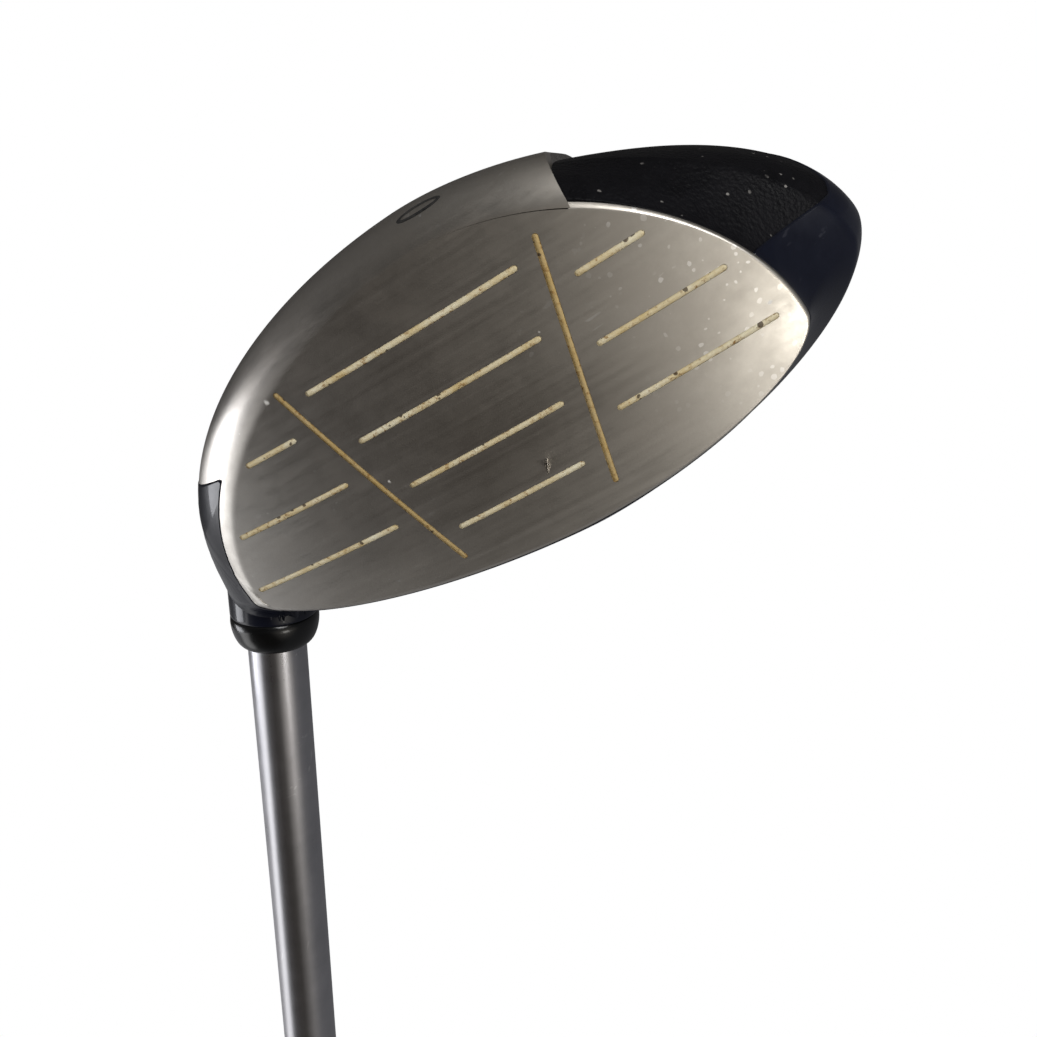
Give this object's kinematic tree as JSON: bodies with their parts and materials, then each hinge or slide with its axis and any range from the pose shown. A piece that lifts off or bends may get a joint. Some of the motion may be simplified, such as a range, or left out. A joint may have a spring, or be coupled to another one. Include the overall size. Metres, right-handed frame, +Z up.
{
  "type": "fairway wood golf club",
  "caption": "Fairway wood golf club: half-moon grooved steel face, hollow painted head with a keeled sole, domed ferrule, stepped steel shaft and rubber grip with a vented cap.",
  "frame": {"origin": "where the sole rests on the ground, below the face's centre, with the club at address", "axes": "+X to the toe, +Y to the target (the way the face looks), +Z up; the shaft lies in an XZ plane and leans to -X"},
  "size_m": [0.635, 0.0695, 0.936],
  "materials": {
    "head_steel": "satin",
    "crown_paint": "gloss",
    "relief_paint": "textured matte",
    "foam": "matte",
    "line_paint": "matte",
    "mark_paint": "matte",
    "black_plastic": "satin",
    "weight_brass": "satin",
    "bond_resin": "satin",
    "ferrule_plastic": "gloss",
    "shaft_steel": "satin chrome",
    "band_film": "gloss",
    "tape_cloth": "matte",
    "grip_rubber": "matte",
    "cap_rubber": "satin"
  },
  "bodies": {
    "root": {"head_casting": "head_steel", "crown_shell": "crown_paint", "sole_plate": "relief_paint", "foam_core": "foam", "face_lines": "line_paint", "sole_mark_paint": "mark_paint", "tip_plug": "black_plastic", "tip_weight": "weight_brass", "hosel_bond": "bond_resin", "ferrule": "ferrule_plastic", "shaft": "shaft_steel", "shaft_band": "band_film", "grip_tape": "tape_cloth", "grip_sleeve": "grip_rubber", "grip_cap": "cap_rubber"}
  },
  "joints": []
}
